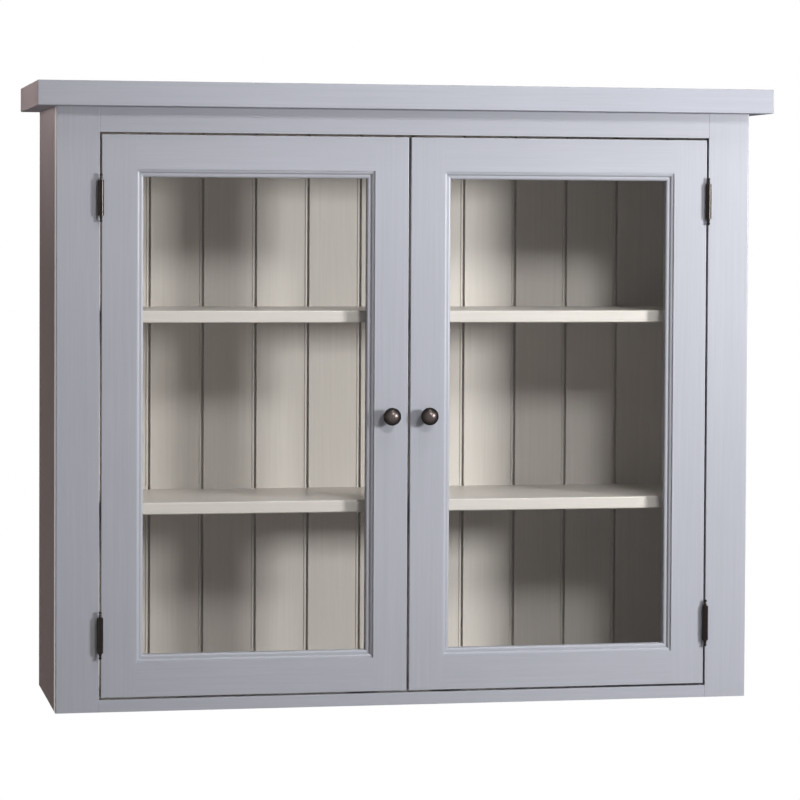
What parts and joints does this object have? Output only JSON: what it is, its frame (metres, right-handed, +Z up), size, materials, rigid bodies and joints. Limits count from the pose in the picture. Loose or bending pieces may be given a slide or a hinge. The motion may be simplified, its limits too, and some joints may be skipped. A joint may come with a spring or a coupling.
{
  "type": "hanging display cabinet",
  "caption": "Painted wooden wall cabinet with glazed doors on butt hinges, fixed shelves, a tongue-and-groove back and a thick overhanging top board.",
  "frame": {"origin": "middle of the four wall screws: on the wall plane, halfway along and halfway up the body", "axes": "+X to the viewer's right along the cabinet, +Y into the wall, +Z up; the doors face -Y"},
  "size_m": [1.1, 0.315, 0.916],
  "materials": {
    "grey_paint": "satin lilac-grey paint",
    "cream_paint": "satin cream paint",
    "bare_wood": "bare softwood",
    "glass": "clear float glass",
    "dark_bronze": "dark antique bronze, rubbed on the high spots",
    "steel": "zinc plated",
    "catch_case": "moulded"
  },
  "bodies": {
    "carcass": {"back_board_01": "cream_paint", "back_board_02": "cream_paint", "back_board_03": "cream_paint", "back_board_04": "cream_paint", "back_board_05": "cream_paint", "back_board_06": "cream_paint", "back_board_07": "cream_paint", "back_board_08": "cream_paint", "back_board_09": "cream_paint", "back_board_10": "cream_paint", "back_board_11": "cream_paint", "back_board_12": "cream_paint", "back_board_13": "cream_paint", "bottom_panel": "cream_paint", "carcass_screws": "steel", "face_frame_bottom_rail": "grey_paint", "face_frame_left_stile": "grey_paint", "face_frame_right_stile": "grey_paint", "face_frame_top_rail": "grey_paint", "hinge_pins": "dark_bronze", "left_lower_hinge_frame_leaf": "dark_bronze", "left_magnetic_catch": "catch_case", "left_side": "grey_paint", "left_upper_hinge_frame_leaf": "dark_bronze", "lower_hanging_rail": "bare_wood", "lower_shelf": "cream_paint", "right_lower_hinge_frame_leaf": "dark_bronze", "right_magnetic_catch": "catch_case", "right_side": "grey_paint", "right_upper_hinge_frame_leaf": "dark_bronze", "top_board": "grey_paint", "top_board_screws": "steel", "top_panel": "cream_paint", "upper_hanging_rail": "bare_wood", "upper_shelf": "cream_paint"},
    "left_door": {"left_catch_strike": "steel", "left_door_bottom_rail": "grey_paint", "left_door_glass": "glass", "left_door_glazing_beads": "grey_paint", "left_door_hinge_stile": "grey_paint", "left_door_knob": "dark_bronze", "left_door_knob_screw": "steel", "left_door_meeting_stile": "grey_paint", "left_door_screws": "steel", "left_door_top_rail": "grey_paint", "left_lower_hinge_door_leaf": "dark_bronze", "left_upper_hinge_door_leaf": "dark_bronze"},
    "right_door": {"right_catch_strike": "steel", "right_door_bottom_rail": "grey_paint", "right_door_glass": "glass", "right_door_glazing_beads": "grey_paint", "right_door_hinge_stile": "grey_paint", "right_door_knob": "dark_bronze", "right_door_knob_screw": "steel", "right_door_meeting_stile": "grey_paint", "right_door_screws": "steel", "right_door_top_rail": "grey_paint", "right_lower_hinge_door_leaf": "dark_bronze", "right_upper_hinge_door_leaf": "dark_bronze"}
  },
  "joints": [
    {"name": "left_door_swing", "type": "hinge", "parent": "carcass", "child": "left_door", "pos_m": [-0.4565, -0.2915, 0], "axis": [0, 0, -1], "range_deg": [0, 180]},
    {"name": "right_door_swing", "type": "hinge", "parent": "carcass", "child": "right_door", "pos_m": [0.4565, -0.2915, 0], "axis": [0, 0, 1], "range_deg": [0, 180]}
  ]
}
